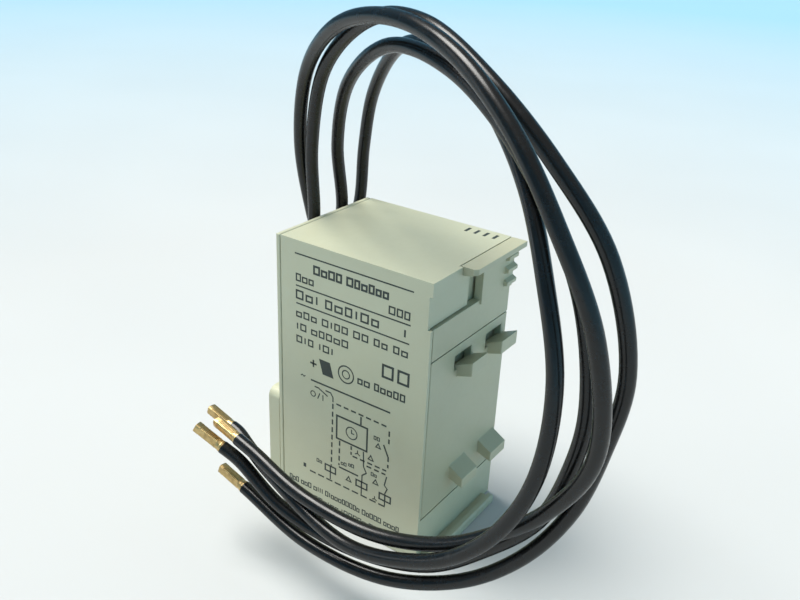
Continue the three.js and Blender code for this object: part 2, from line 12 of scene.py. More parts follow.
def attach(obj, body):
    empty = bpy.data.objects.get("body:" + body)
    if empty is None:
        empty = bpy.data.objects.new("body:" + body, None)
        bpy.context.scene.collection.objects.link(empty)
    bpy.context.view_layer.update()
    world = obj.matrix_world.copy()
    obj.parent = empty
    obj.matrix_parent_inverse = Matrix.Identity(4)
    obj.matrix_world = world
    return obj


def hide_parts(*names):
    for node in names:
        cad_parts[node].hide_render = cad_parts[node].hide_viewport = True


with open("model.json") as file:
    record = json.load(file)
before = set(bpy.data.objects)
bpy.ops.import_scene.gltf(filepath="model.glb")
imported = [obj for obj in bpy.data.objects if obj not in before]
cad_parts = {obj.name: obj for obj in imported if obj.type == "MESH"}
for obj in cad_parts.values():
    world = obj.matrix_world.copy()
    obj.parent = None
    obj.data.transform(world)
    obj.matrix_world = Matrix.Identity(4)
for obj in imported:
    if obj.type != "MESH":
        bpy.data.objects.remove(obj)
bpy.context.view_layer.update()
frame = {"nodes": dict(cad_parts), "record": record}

MM = 0.001
INK_THICKNESS = 0.02 * MM
INK_SINK = 0.005 * MM       # how deep the ink's underside sits in the plastic
CHANCE = random.Random(7)


# ---------------------------------------------------------------- shader helpers
def srgb(red, green, blue):
    """A colour given as 0-255 screen values, as the linear colour that shaders take."""
    def linear(value):
        value /= 255
        return value / 12.92 if value <= 0.04045 else ((value + 0.055) / 1.055) ** 2.4
    return (linear(red), linear(green), linear(blue), 1.0)


def shade(colour, factor):
    return tuple(min(1.0, channel * factor) for channel in colour[:3]) + (1.0,)


class Surface:
    """A material under construction, with short names for the nodes that the surfaces here share."""

    def __init__(self, name, roughness, **settings):
        self.material = bpy.data.materials.new(name)
        self.material.use_nodes = True
        self.tree = self.material.node_tree
        self.shader = self.tree.nodes["Principled BSDF"]
        self.shader.inputs["Roughness"].default_value = roughness
        for socket, value in settings.items():
            self.shader.inputs[socket.replace("_", " ")].default_value = value
        self.place = self.tree.nodes.new("ShaderNodeTexCoord").outputs["Object"]
        self.heights = []

    def node(self, kind, **sockets):
        made = self.tree.nodes.new(kind)
        for socket, value in sockets.items():
            self.feed(made.inputs[socket.replace("_", " ")], value)
        return made

    def feed(self, socket, value):
        if isinstance(value, bpy.types.NodeSocket):
            self.tree.links.new(value, socket)
        else:
            socket.default_value = value

    def noise(self, size, detail=2.0, roughness=0.5):
        """Noise whose lumps are about size metres across."""
        made = self.node("ShaderNodeTexNoise", Vector=self.place, Scale=1 / size, Detail=detail,
                         Roughness=roughness)
        return made.outputs["Fac"]

    def ramp(self, value, low, high, to_low=0.0, to_high=1.0):
        made = self.node("ShaderNodeMapRange", Value=value, From_Min=low, From_Max=high)
        made.inputs["To Min"].default_value = to_low
        made.inputs["To Max"].default_value = to_high
        return made.outputs["Result"]

    def mix(self, amount, first, second):
        made = self.node("ShaderNodeMix")
        made.data_type = "RGBA"
        self.feed(made.inputs["Factor"], amount)
        colours = [socket for socket in made.inputs if socket.type == "RGBA"]
        self.feed(colours[0], first)
        self.feed(colours[1], second)
        return next(socket for socket in made.outputs if socket.type == "RGBA")

    def colour(self, value):
        self.feed(self.shader.inputs["Base Color"], value)

    def roughness(self, value):
        self.feed(self.shader.inputs["Roughness"], value)

    def bump(self, height, depth, strength):
        """Adds a height field whose full range stands for depth metres."""
        made = self.node("ShaderNodeBump", Height=height, Distance=depth, Strength=strength)
        if self.heights:
            self.tree.links.new(self.heights[-1], made.inputs["Normal"])
        self.heights.append(made.outputs["Normal"])
        self.feed(self.shader.inputs["Normal"], made.outputs["Normal"])


def moulded_plastic(name, colour, roughness=0.46, grain=0.35, tone=0.06, warm=0.05):
    """Spark-textured injection-moulded plastic: faint flow clouds, a fine grain and a slightly aged tint."""
    surface = Surface(name, roughness, IOR=1.5)
    clouds = surface.noise(26 * MM, detail=3)
    fine = surface.noise(1.7 * MM, detail=4, roughness=0.6)
    base = surface.mix(surface.ramp(clouds, 0.3, 0.7), shade(colour, 1 - tone), shade(colour, 1 + tone / 2))
    aged = (colour[0] * 1.04, colour[1] * 0.99, colour[2] * 0.86, 1.0)
    stains = surface.noise(41 * MM, detail=2)
    base = surface.mix(surface.ramp(stains, 0.45, 0.75, 0.0, warm * 6), base, aged)
    base = surface.mix(surface.ramp(fine, 0.55, 0.8, 0.0, 0.22), base, shade(colour, 0.9))
    surface.colour(base)
    surface.roughness(surface.ramp(fine, 0.25, 0.75, roughness - 0.05, roughness + 0.05))
    surface.bump(surface.noise(grain * MM, detail=2, roughness=0.6), 0.012 * MM, 0.55)
    surface.bump(surface.noise(9 * MM, detail=1), 0.05 * MM, 0.5)
    return surface.material


def soft_pvc(name, colour):
    """Smooth extruded PVC with a soft waviness, a little dust and a few dull scuffs."""
    surface = Surface(name, 0.26, IOR=1.42)
    scuffs = surface.noise(3.5 * MM, detail=5, roughness=0.7)
    dust = surface.noise(0.8 * MM, detail=3, roughness=0.7)
    base = surface.mix(surface.ramp(surface.noise(12 * MM), 0.35, 0.7), colour, shade(colour, 1.35))
    base = surface.mix(surface.ramp(scuffs, 0.62, 0.8, 0.0, 0.14), base, srgb(88, 90, 90))
    base = surface.mix(surface.ramp(dust, 0.68, 0.8, 0.0, 0.14), base, srgb(120, 120, 116))
    surface.colour(base)
    surface.roughness(surface.ramp(scuffs, 0.35, 0.75, 0.2, 0.34))
    surface.bump(surface.noise(1.4 * MM, detail=3), 0.012 * MM, 0.4)
    surface.bump(surface.noise(7 * MM, detail=1), 0.1 * MM, 0.45)
    return surface.material


def worked_metal(name, colour, roughness, tarnish):
    """Drawn and pressed sheet metal with fine scratches and a cloudy tarnish."""
    surface = Surface(name, roughness, Metallic=1.0)
    clouds = surface.noise(1.6 * MM, detail=4, roughness=0.65)
    base = surface.mix(surface.ramp(clouds, 0.42, 0.72), colour, tarnish)
    surface.colour(base)
    surface.roughness(surface.ramp(clouds, 0.3, 0.8, roughness - 0.08, roughness + 0.14))
    surface.bump(surface.noise(0.25 * MM, detail=3, roughness=0.7), 0.015 * MM, 0.6)
    return surface.material


def printed_ink(name, colour):
    """Pad-printed ink: a matt film that is a little uneven."""
    surface = Surface(name, 0.6)
    patchy = surface.noise(0.5 * MM, detail=3, roughness=0.7)
    surface.colour(surface.mix(surface.ramp(patchy, 0.35, 0.75), colour, shade(colour, 1.7)))
    surface.roughness(surface.ramp(patchy, 0.3, 0.7, 0.5, 0.72))
    return surface.material


def clear_lens(name, colour):
    surface = Surface(name, 0.12, IOR=1.49)
    surface.shader.inputs["Transmission Weight"].default_value = 0.35
    surface.colour(surface.mix(surface.ramp(surface.noise(0.9 * MM), 0.3, 0.7), colour, shade(colour, 0.82)))
    surface.bump(surface.noise(0.6 * MM, detail=1), 0.01 * MM, 0.4)
    return surface.material


def board_laminate(name, colour):
    """Green solder mask over a woven laminate."""
    surface = Surface(name, 0.35)
    cells = surface.node("ShaderNodeTexVoronoi", Vector=surface.place, Scale=1 / (0.6 * MM))
    weave = cells.outputs["Distance"]
    surface.colour(surface.mix(surface.ramp(surface.noise(8 * MM), 0.35, 0.7), colour, shade(colour, 0.8)))
    surface.roughness(surface.ramp(weave, 0.0, 0.8, 0.3, 0.45))
    surface.bump(weave, 0.02 * MM, 0.5)
    return surface.material


def wound_copper(name, colour):
    """Enamelled wire wound round the relay's core, which runs along X."""
    surface = Surface(name, 0.3, Metallic=1.0)
    turns = surface.node("ShaderNodeTexWave", Vector=surface.place, Scale=1 / (0.9 * MM)).outputs["Fac"]
    # The colour drops to 0.6 of the copper's in the grooves between turns: painted shade where the round
    # wires meet.
    surface.colour(surface.mix(turns, shade(colour, 0.6), colour))
    surface.roughness(surface.ramp(turns, 0.0, 1.0, 0.42, 0.26))
    surface.bump(turns, 0.06 * MM, 0.8)
    return surface.material


CASE_COLOUR = srgb(187, 188, 162)
MATERIALS = {
    "housing_plastic": moulded_plastic("housing_plastic", CASE_COLOUR),
    "mechanism_plastic": moulded_plastic("mechanism_plastic", srgb(180, 179, 152), roughness=0.42, warm=0.07),
    "dial_plastic": moulded_plastic("dial_plastic", srgb(58, 64, 63), roughness=0.38, tone=0.12),
    "lens_plastic": clear_lens("lens_plastic", srgb(120, 190, 132)),
    "lead_insulation": soft_pvc("lead_insulation", srgb(15, 16, 16)),
    "ferrule_brass": worked_metal("ferrule_brass", srgb(204, 178, 126), 0.4, srgb(164, 136, 90)),
    "contact_brass": worked_metal("contact_brass", srgb(190, 160, 92), 0.35, srgb(150, 118, 66)),
    "contact_silver": worked_metal("contact_silver", srgb(200, 200, 196), 0.3, srgb(150, 148, 140)),
    "board_laminate": board_laminate("board_laminate", srgb(44, 104, 62)),
    "component_black": moulded_plastic(
        "component_black", srgb(34, 35, 38), roughness=0.5, grain=0.2, tone=0.15),
    "component_blue": moulded_plastic("component_blue", srgb(40, 92, 150), roughness=0.4, tone=0.1),
    "relay_plastic": moulded_plastic("relay_plastic", srgb(208, 203, 186), roughness=0.4),
    "relay_steel": worked_metal("relay_steel", srgb(164, 166, 168), 0.34, srgb(128, 128, 126)),
    "coil_copper": wound_copper("coil_copper", srgb(176, 104, 60)),
    "capacitor_sleeve": soft_pvc("capacitor_sleeve", srgb(34, 46, 74)),
    "film_case": moulded_plastic("film_case", srgb(196, 158, 58), roughness=0.4, tone=0.1),
    "resistor_ceramic": moulded_plastic("resistor_ceramic", srgb(186, 166, 136), roughness=0.75, grain=0.25),
}
INK = printed_ink("label_ink", srgb(42, 50, 46))
PALE_INK = printed_ink("pale_ink", srgb(226, 228, 218))
STRAND_COPPER = worked_metal("strand_copper", srgb(186, 132, 92), 0.32, srgb(140, 92, 60))


def paint(obj, material):
    obj.data.materials.clear()
    obj.data.materials.append(material)


# ---------------------------------------------------------------- mesh helpers
def mesh_object(name, bm, material, body):
    mesh = bpy.data.meshes.new(name)
    bmesh.ops.recalc_face_normals(bm, faces=bm.faces)
    bm.to_mesh(mesh)
    bm.free()
    obj = bpy.data.objects.new(name, mesh)
    bpy.context.scene.collection.objects.link(obj)
    mesh.materials.append(material)
    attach(obj, body)
    return obj


# ---------------------------------------------------------------- printed marks
# Faces that carry print, in millimetres in the part's frame.
SIDE_FACE_X = 18
TOP_FACE_Z = 76
COVER_FACE_Y = -21.5
DIAL_FACE_Y = -24.7
KNOB_FACE_Y = -26.4
HOOD_FACE_Y = -27.6
# Widths of the ink's strokes, in millimetres.
HAIRLINE, THIN, FINE, MEDIUM, BOLD = 0.24, 0.3, 0.36, 0.46, 0.5
SHARPEST_MITRE = 0.5        # cosine that keeps a ribbon's sharp corners from running out
SHORTEST_DASH = 0.2
RING_SIDES = 28
BAR_WIDTH, BOX_WIDTH, MARK_GAP, WORD_GAP = 0.22, 0.7, 0.4, 0.5      # before a row is fitted to its length
LOW_BOX = 0.72              # height of a low box against a tall one


class Print:
    """Ink shapes on one flat face, drawn in millimetres across and up and raised by the ink's thickness."""

    def __init__(self, origin, across, up):
        self.origin = Vector(origin)
        self.across = Vector(across)
        self.up = Vector(up)
        self.out = self.across.cross(self.up)
        self.bm = bmesh.new()

    def corner(self, u, v, lift):
        return self.bm.verts.new(self.origin + (self.across * u + self.up * v) * MM + self.out * lift)

    def patch(self, outline):
        low = [self.corner(u, v, -INK_SINK) for u, v in outline]
        high = [self.corner(u, v, INK_THICKNESS) for u, v in outline]
        self.bm.faces.new(high)
        self.bm.faces.new(low[::-1])
        for index in range(len(outline)):
            after = (index + 1) % len(outline)
            self.bm.faces.new((low[index], low[after], high[after], high[index]))

    def block(self, u0, v0, u1, v1):
        self.patch([(u0, v0), (u1, v0), (u1, v1), (u0, v1)])

    def line(self, points, width=MEDIUM, closed=False):
        """A mitred ribbon along the points."""
        places = [Vector(point) for point in points]
        count = len(places)
        sides = []
        for index, place in enumerate(places):
            before = places[index - 1] if closed or index else 2 * place - places[1]
            is_end = index == count - 1 and not closed
            after = 2 * place - places[index - 1] if is_end else places[(index + 1) % count]
            first = (place - before).normalized()
            second = (after - place).normalized()
            mitre = (first + second).normalized()
            reach = width / 2 / max(SHARPEST_MITRE, mitre.dot(first))
            aside = Vector((-mitre.y, mitre.x)) * reach
            sides.append((place + aside, place - aside))
        rails = [[self.corner(*side, lift) for side in pair for lift in (-INK_SINK, INK_THICKNESS)]
                 for pair in sides]
        last = count if closed else count - 1
        for index in range(last):
            here, there = rails[index], rails[(index + 1) % count]
            for low, high in ((0, 1), (1, 3), (3, 2), (2, 0)):
                self.bm.faces.new((here[low], here[high], there[high], there[low]))
        if not closed:
            for end in (rails[0], rails[-1]):
                self.bm.faces.new((end[0], end[1], end[3], end[2]))

    def dashes(self, points, dash=1.5, gap=0.8):
        for start, end in zip(points, points[1:]):
            way = Vector(end) - Vector(start)
            length = way.length
            way.normalize()
            done = 0.0
            while done < length - SHORTEST_DASH:
                stop = min(done + dash, length)
                self.line([tuple(Vector(start) + way * done), tuple(Vector(start) + way * stop)])
                done = stop + gap

    def ring(self, u, v, radius, width=FINE):
        turn = [2 * math.pi * index / RING_SIDES for index in range(RING_SIDES)]
        self.line([(u + radius * math.cos(a), v + radius * math.sin(a)) for a in turn], width, closed=True)

    def frame_box(self, u0, v0, u1, v1, width):
        self.line([(u0, v0), (u1, v0), (u1, v1), (u0, v1)], width, closed=True)

    def words(self, u0, u1, v, height, pattern, width=0.4):
        """A row standing in for words: groups of plain boxes and bars that spell nothing."""
        marks = []
        pen = 0.0
        for count in pattern:
            for _ in range(count):
                kind = CHANCE.choice(("box", "box", "box", "low box", "low box", "bar"))
                wide = BAR_WIDTH if kind == "bar" else BOX_WIDTH * CHANCE.uniform(0.85, 1.15)
                marks.append((kind, pen, pen + wide))
                pen += wide + MARK_GAP
            pen += WORD_GAP
        scale = (u1 - u0) / marks[-1][2]
        low, high = v - height / 2 + width / 2, v + height / 2 - width / 2
        for kind, start, stop in marks:
            left, right = u0 + start * scale, u0 + stop * scale
            top = high * LOW_BOX + low * (1 - LOW_BOX) if kind == "low box" else high
            if kind == "bar":
                self.line([((left + right) / 2, low), ((left + right) / 2, high)], width)
            else:
                self.frame_box(left, low, right, top, width)

    def star(self, u, v, size):
        for angle in (90, 210, 330):
            turn = math.radians(angle)
            self.line([(u, v), (u + size * math.cos(turn), v + size * math.sin(turn))], THIN)

    def triangle(self, u, v, size):
        turns = [math.radians(angle) for angle in (90, 210, 330)]
        self.line([(u + size * math.cos(a), v + size * math.sin(a)) for a in turns], THIN, closed=True)

    def clock(self, u, v, radius, width=THIN):
        self.ring(u, v, radius, width)
        self.line([(u, v + radius * 0.65), (u, v), (u + radius * 0.5, v)], width)

    def place(self, name, material, body):
        return mesh_object(name, self.bm, material, body)


def side_print():
    """The printed side: ruled heading, rows of plain blocks and a generic star-delta circuit."""
    ink = Print((SIDE_FACE_X * MM, 0, 0), (0, 1, 0), (0, 0, 1))
    for v, u0, u1 in ((72.6, -15.5, 18.6), (64.3, -15.3, 18.2), (59.6, -15.2, 18.1)):
        ink.line([(u0, v), (u1, v)], FINE)
    ink.words(-9.6, 11.8, 69.8, 2.4, (4, 6), width=0.55)
    ink.words(-15.1, -9.9, 66.5, 2.1, (3,))
    ink.words(12.3, 17.8, 66.4, 2.1, (3,))
    ink.words(-15.1, 9.4, 62.0, 2.5, (3, 6), width=0.48)
    ink.words(16.0, 17.6, 61.9, 2.3, (1,), width=0.48)
    ink.words(-15.1, 17.7, 56.9, 2.0, (3, 4, 2, 2, 2))
    ink.words(-15.1, 0.7, 53.4, 2.0, (2, 5))
    ink.words(-15.1, -3.7, 49.9, 2.0, (3, 3))
    ink.line([(-10.8, 44.6), (-8.8, 44.6)], BOLD)
    ink.line([(-9.8, 45.6), (-9.8, 43.6)], BOLD)
    ink.patch([(-8.0, 46.6), (-4.6, 46.6), (-3.4, 42.6), (-6.8, 42.6)])
    ink.ring(0.4, 45.2, 2.3)
    ink.ring(0.4, 45.2, 1.1, THIN)
    ink.words(4.1, 17.6, 45.1, 2.1, (2, 5), width=0.42)
    ink.frame_box(11.2, 48.8, 14.0, 51.9, 0.6)
    ink.frame_box(15.6, 48.8, 18.4, 51.9, 0.6)
    circuit(ink)
    ink.words(-18.0, 17.8, 6.9, 1.7, (3, 3, 4, 10, 5, 4), width=THIN)
    ink.words(-14.9, 13.0, 3.6, 1.7, (3, 7, 6, 3), width=THIN)
    ink.place("side_print", INK, "housing")


def circuit(ink):
    """Rails, a timer box, contacts and three coils, laid out like a star-delta starter without letters."""
    ink.line([(-13.9, 39.8), (-13.4, 40.2), (-12.9, 39.8), (-12.4, 40.2)], 0.26)
    ink.line([(-10.6, 39.7), (13.8, 39.8)])
    ink.line([(-9.4, 38.2), (-8.2, 38.2), (-5.2, 36.9)], FINE)
    ink.line([(-5.9, 38.3), (-4.3, 38.3), (-3.5, 37.2), (-3.5, 35.9)], FINE)
    ink.ring(-9.9, 35.9, 0.75, 0.28)
    ink.line([(-8.4, 35.0), (-7.7, 36.8)], 0.28)
    ink.line([(-6.7, 35.0), (-6.7, 36.7)], 0.28)
    ink.dashes([(-3.5, 35.4), (-3.8, 16.6)])
    ink.dashes([(-2.4, 35.8), (13.8, 35.6)])
    ink.dashes([(13.8, 34.6), (13.8, 31.0)])
    ink.line([(12.3, 30.1), (13.8, 27.0), (13.8, 25.8)])
    ink.dashes([(13.8, 24.9), (13.8, 23.2)], dash=1.0, gap=0.7)
    ink.frame_box(-2.2, 25.9, 7.3, 32.6, BOLD)
    ink.line([(5.3, 35.2), (5.3, 32.9)])
    ink.clock(2.5, 29.2, 1.7)
    ink.dashes([(-1.2, 25.4), (-1.3, 17.9)])
    ink.line([(-1.3, 17.4), (4.9, 17.4)])
    ink.dashes([(2.5, 25.4), (2.5, 22.8)], dash=1.1, gap=0.6)
    ink.dashes([(3.0, 22.6), (13.4, 22.9)])
    ink.star(4.5, 24.1, 0.9)
    ink.triangle(8.6, 24.4, 0.9)
    ink.line([(6.3, 25.4), (6.5, 21.0), (7.4, 19.4), (6.1, 18.2), (6.1, 16.3)], FINE)
    ink.dashes([(7.4, 21.6), (13.2, 21.7)])
    ink.line([(13.6, 21.2), (13.0, 18.4), (13.9, 17.6), (13.2, 15.8)], FINE)
    for u, v in ((-4.1, 15.4), (6.0, 15.2), (13.3, 14.6)):
        ink.frame_box(u - 1.7, v - 0.9, u + 1.7, v + 0.9, MEDIUM)
        ink.line([(u, v - 0.9), (u, v + 0.9)], MEDIUM)
        ink.line([(u, v - 1.1), (u, 12.2)], FINE)
    ink.triangle(1.9, 14.9, 0.9)
    ink.star(10.2, 12.9, 0.8)
    ink.triangle(10.3, 17.9, 0.9)
    ink.triangle(10.7, 28.9, 0.8)
    for u, v in ((-7.8, 16.3), (2.6, 19.6), (0.2, 19.0), (9.7, 20.0), (10.2, 31.0)):
        ink.words(u - 0.8, u + 0.8, v, 1.15, (2,), width=HAIRLINE)
    ink.dashes([(-11.0, 11.8), (13.4, 12.0)], dash=2.0)
    ink.block(-13.2, 12.2, -12.3, 13.4)


def top_print():
    ink = Print((0, 0, TOP_FACE_Z * MM), (1, 0, 0), (0, 1, 0))
    for v in (12.0, 14.6, 17.2, 19.8):
        ink.block(-16.3, v - 0.4, -13.6, v + 0.4)
    ink.place("top_print", INK, "housing")


DIAL_CENTRE_Z = 16
DIAL_TURN = 270
DIAL_UNITS = 30
DIAL_STEP = 5               # units between numerals
TICK_START, TICK_END, LONG_TICK_END = 8.5, 9.3, 10.1
NUMERAL_RADIUS = 12.2
NUMERAL_HEIGHT = 2.1
NUMERAL_STROKE = 0.28
POINTER_BASE, POINTER_TIP, POINTER_HALF_WIDTH = 5.4, 6.35, 0.5
DIGIT_STROKES = {
    "0": [[(0.0, 0.2), (0.0, 0.8), (0.2, 1.0), (0.4, 1.0), (0.6, 0.8),
           (0.6, 0.2), (0.4, 0.0), (0.2, 0.0), (0.0, 0.2)]],
    "1": [[(0.1, 0.78), (0.35, 1.0), (0.35, 0.0)]],
    "2": [[(0.0, 0.8), (0.18, 1.0), (0.44, 1.0), (0.6, 0.8), (0.56, 0.56), (0.0, 0.0), (0.62, 0.0)]],
    "3": [[(0.0, 0.88), (0.18, 1.0), (0.42, 1.0), (0.58, 0.8), (0.42, 0.56), (0.2, 0.54)],
          [(0.42, 0.56), (0.6, 0.32), (0.44, 0.04), (0.18, 0.0), (0.0, 0.14)]],
    "5": [[(0.58, 1.0), (0.06, 1.0), (0.02, 0.56), (0.36, 0.62),
           (0.6, 0.38), (0.44, 0.04), (0.16, 0.0), (0.0, 0.1)]],
}


def numeral(ink, text, u, v, height):
    pitch = 0.82 * height
    start = u - (pitch * (len(text) - 1) + 0.6 * height) / 2
    for place, digit in enumerate(text):
        for stroke in DIGIT_STROKES[digit]:
            places = [(start + place * pitch + x * height, v + (y - 0.5) * height) for x, y in stroke]
            ink.line(places, NUMERAL_STROKE)


def dial_print():
    """Time scale round the knob: 270 degrees for 0 to 30, running clockwise from the lower left."""
    ink = Print((0, DIAL_FACE_Y * MM, 0), (1, 0, 0), (0, 0, 1))
    for unit in range(DIAL_UNITS + 1):
        turn = math.radians(-DIAL_TURN / 2 + unit * DIAL_TURN / DIAL_UNITS)
        way = (math.sin(turn), math.cos(turn))
        major = unit % DIAL_STEP == 0
        outer = LONG_TICK_END if major else TICK_END
        ink.line([(r * way[0], DIAL_CENTRE_Z + r * way[1]) for r in (TICK_START, outer)],
                 0.34 if major else HAIRLINE)
        if major:
            across, up = NUMERAL_RADIUS * way[0], NUMERAL_RADIUS * way[1]
            numeral(ink, str(unit), across, DIAL_CENTRE_Z + up, NUMERAL_HEIGHT)
    ink.clock(14.2, 27.9, 1.3, 0.26)
    ink.place("dial_print", INK, "housing")


def knob_pointer():
    """A small arrowhead at the end of the knob's slot, which points to 0 at rest and turns with the knob."""
    ink = Print((0, KNOB_FACE_Y * MM, DIAL_CENTRE_Z * MM), (1, 0, 0), (0, 0, 1))
    way = Vector((-1, -1)).normalized()
    aside = Vector((1, -1)).normalized() * POINTER_HALF_WIDTH
    base = way * POINTER_BASE
    ink.patch([tuple(base + aside), tuple(way * POINTER_TIP), tuple(base - aside)])
    ink.place("knob_pointer", PALE_INK, "time_dial")


def front_print():
    """Marks for the lamp on the cover and for the four leads on their hood."""
    ink = Print((0, COVER_FACE_Y * MM, 0), (1, 0, 0), (0, 0, 1))
    ink.ring(10, 37, 2.6, 0.26)
    ink.line([(13.6, 36.7), (14.2, 37.3), (14.8, 36.7), (15.4, 37.3)], 0.3)
    ink.place("lamp_print", INK, "housing")
    ink = Print((0, HOOD_FACE_Y * MM, 0), (1, 0, 0), (0, 0, 1))
    ink.line([(0.5, 54.9), (1.1, 55.5), (1.7, 54.9), (2.3, 55.5)], 0.3)
    ink.line([(-5.1, 55.2), (-2.7, 55.2)], 0.3)
    ink.star(-9.3, 55.1, 1.1)
    ink.triangle(-14.7, 54.9, 1.2)
    ink.place("hood_print", INK, "housing")


side_print()
top_print()
dial_print()
knob_pointer()
front_print()


# ---------------------------------------------------------------- leads
LEAD_RADIUS = 1.6 * MM
LEAD_ROW_Y = -0.0248
LEAD_RISE = (0.047, 0.054, 0.062)
LEAD_X = {"supply": 0.0015, "common": -0.0039, "star": -0.0093, "delta": -0.0147}
LEAD_ROUTES = {
    "supply": [
        (0.001, -0.024, 0.075), (0.0035, -0.0226, 0.0941), (0.0086, -0.0145, 0.1143),
        (0.0156, 0.0031, 0.1274), (0.0227, 0.0211, 0.1291), (0.0286, 0.0384, 0.1223),
        (0.0311, 0.0534, 0.1112), (0.0308, 0.0652, 0.0972), (0.0301, 0.0712, 0.0772),
        (0.0305, 0.0695, 0.0607), (0.0314, 0.0655, 0.0449), (0.0332, 0.0573, 0.0306),
        (0.0356, 0.0452, 0.0195), (0.0386, 0.0276, 0.0126), (0.0401, 0.0069, 0.0125),
        (0.0392, -0.0137, 0.0179)],
    "common": [
        (-0.0015, -0.027, 0.075), (0.0024, -0.0272, 0.0931), (0.009, -0.0195, 0.1129),
        (0.0189, -0.0026, 0.1259), (0.0275, 0.017, 0.1301), (0.0343, 0.0341, 0.1271),
        (0.0396, 0.0488, 0.1181), (0.0428, 0.0604, 0.1047), (0.0426, 0.0692, 0.0879),
        (0.0398, 0.0712, 0.0648), (0.0384, 0.0633, 0.0486), (0.0387, 0.0542, 0.0392),
        (0.0402, 0.0432, 0.0316), (0.042, 0.0265, 0.0269), (0.0421, 0.0069, 0.0275), (0.04, -0.0092, 0.0305),
        (0.0393, -0.015, 0.0314)],
    "star": [
        (-0.0103, -0.024, 0.075), (-0.0066, -0.0228, 0.0924), (0.0007, -0.0141, 0.1099),
        (0.0119, 0.0053, 0.1221), (0.022, 0.0266, 0.1216), (0.0281, 0.0423, 0.1141), (0.0315, 0.054, 0.1029),
        (0.033, 0.0624, 0.0887), (0.0335, 0.0663, 0.0698), (0.0336, 0.0651, 0.0569),
        (0.0335, 0.0604, 0.0424), (0.034, 0.0504, 0.03), (0.036, 0.0372, 0.0196), (0.038, 0.0186, 0.0154),
        (0.0399, -0.0008, 0.0187), (0.04, -0.0144, 0.0261), (0.0408, -0.0189, 0.0283)],
    "delta": [
        (-0.0178, -0.0238, 0.0751), (-0.0176, -0.0227, 0.0897), (-0.0133, -0.017, 0.1054),
        (-0.0025, -0.0015, 0.1198), (0.0118, 0.0204, 0.1219), (0.0218, 0.0363, 0.1151),
        (0.0287, 0.0476, 0.105), (0.0342, 0.0555, 0.092), (0.0381, 0.0615, 0.0754), (0.0408, 0.0618, 0.0585),
        (0.0424, 0.0575, 0.0456), (0.0436, 0.0495, 0.0349), (0.0442, 0.0391, 0.0277),
        (0.0439, 0.0208, 0.0223), (0.039, -0.0054, 0.026), (0.0369, -0.0138, 0.0284),
        (0.0355, -0.0186, 0.0298), (0.0353, -0.021, 0.0303)],
}


def lead_points(name):
    rise = [(LEAD_X[name], LEAD_ROW_Y, z) for z in LEAD_RISE]
    return [Vector(point) for point in rise + LEAD_ROUTES[name]]


def lead_tangents(points):
    """The way and speed of a centripetal Catmull-Rom curve at each point, before and after it."""
    ends = [2 * points[0] - points[1]] + points + [2 * points[-1] - points[-2]]
    spans = [(b - a).length ** 0.5 for a, b in zip(ends, ends[1:])]
    slopes = []
    for index in range(1, len(ends) - 1):
        before, here, after = ends[index - 1:index + 2]
        s0, s1 = spans[index - 1], spans[index]
        slopes.append((here - before) / s0 - (after - before) / (s0 + s1) + (after - here) / s1)
    return slopes, spans[1:-1]


def lead_curve(name):
    points = lead_points(name)
    slopes, spans = lead_tangents(points)
    data = bpy.data.curves.new(f"insulation_{name}", "CURVE")
    data.dimensions = "3D"
    data.bevel_depth = LEAD_RADIUS
    data.bevel_resolution = 6
    data.resolution_u = 10
    data.use_fill_caps = True
    spline = data.splines.new("BEZIER")
    spline.bezier_points.add(len(points) - 1)
    for index, (knot, point, slope) in enumerate(zip(spline.bezier_points, points, slopes)):
        knot.handle_left_type = knot.handle_right_type = "FREE"
        knot.co = point
        knot.handle_left = point - slope * spans[max(index - 1, 0)] / 3
        knot.handle_right = point + slope * spans[min(index, len(spans) - 1)] / 3
    obj = bpy.data.objects.new(f"insulation_{name}", data)
    bpy.context.scene.collection.objects.link(obj)
    data.materials.append(MATERIALS["lead_insulation"])
    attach(obj, "housing")
    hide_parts(f"lead_{name}")
    return obj, points[-1], slopes[-1].normalized()


# ---------------------------------------------------------------- ferrules
FERRULE_SIDES = 24
FERRULE_LEAN = 14           # degrees either way that a crimp is turned about its lead
FERRULE_LENGTH = 8.2
CRIMP_START, CRIMP_END, CRIMP_PITCH = 1.7, 6.7, 0.42
BORE_RADIUS = 0.92
STRAND_RADIUS = 0.17
STRAND_SIDES = 6
STRAND_FOOT = 6.9           # how far along the ferrule the strands start
STRAND_RINGS = ((0.36, 6), (0.7, 12))       # radius and number of strands round the middle one


def ferrule_stations():
    """Distance along the ferrule, half width and squareness (2 is round) of each section, in millimetres."""
    stations = [(-0.22, 1.38, 2), (-0.16, 1.47, 2), (0.5, 1.47, 2), (0.72, 1.36, 2), (1.3, 1.32, 2.2)]
    along = CRIMP_START
    while along < CRIMP_END:
        stations += [(along, 1.2, 5), (along + 0.12, 1.13, 5), (along + 0.28, 1.13, 5)]
        along += CRIMP_PITCH
    return stations + [(6.9, 1.2, 5), (7.3, 1.22, 4), (8.1, 1.22, 4), (FERRULE_LENGTH, 1.16, 4)]


def ring_of(bm, centre, across, up, half, squareness):
    verts = []
    for index in range(FERRULE_SIDES):
        turn = 2 * math.pi * (index + 0.5) / FERRULE_SIDES
        x, y = math.cos(turn), math.sin(turn)
        radius = half * MM / (abs(x) ** squareness + abs(y) ** squareness) ** (1 / squareness)
        verts.append(bm.verts.new(centre + (across * x + up * y) * radius))
    return verts


def loft(bm, rings):
    """Skins a row of rings that have the same number of vertices, and closes both ends."""
    for lower, upper in zip(rings, rings[1:]):
        for index in range(len(lower)):
            after = (index + 1) % len(lower)
            bm.faces.new((lower[index], lower[after], upper[after], upper[index]))
    bm.faces.new(rings[0])
    bm.faces.new(rings[-1])


